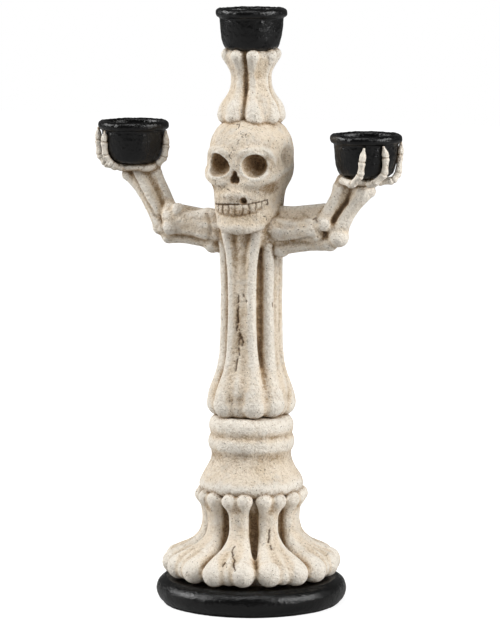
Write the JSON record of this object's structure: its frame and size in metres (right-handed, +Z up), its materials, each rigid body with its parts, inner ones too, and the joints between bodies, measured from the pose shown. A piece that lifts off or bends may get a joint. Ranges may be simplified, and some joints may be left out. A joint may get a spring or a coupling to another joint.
{
  "type": "skeleton candelabra",
  "caption": "Tealight candelabra cast as one piece: bundled bones on a flared foot, a skull, and two raised bony hands and a neck that hold cups.",
  "frame": {"origin": "on the table, under the middle of the round base", "axes": "+Z up; the skull looks along -Y; the figure's left hand is towards +X and its right hand towards -X"},
  "size_m": [0.2348, 0.139, 0.4303],
  "materials": {
    "bone_resin": "aged ivory paint over a stone-filled resin casting, brown wash in the creases",
    "black_paint": "brushed satin black paint on the cups and the base of the same casting"
  },
  "bodies": {
    "root": {"candelabra_casting": "bone_resin"}
  },
  "joints": []
}
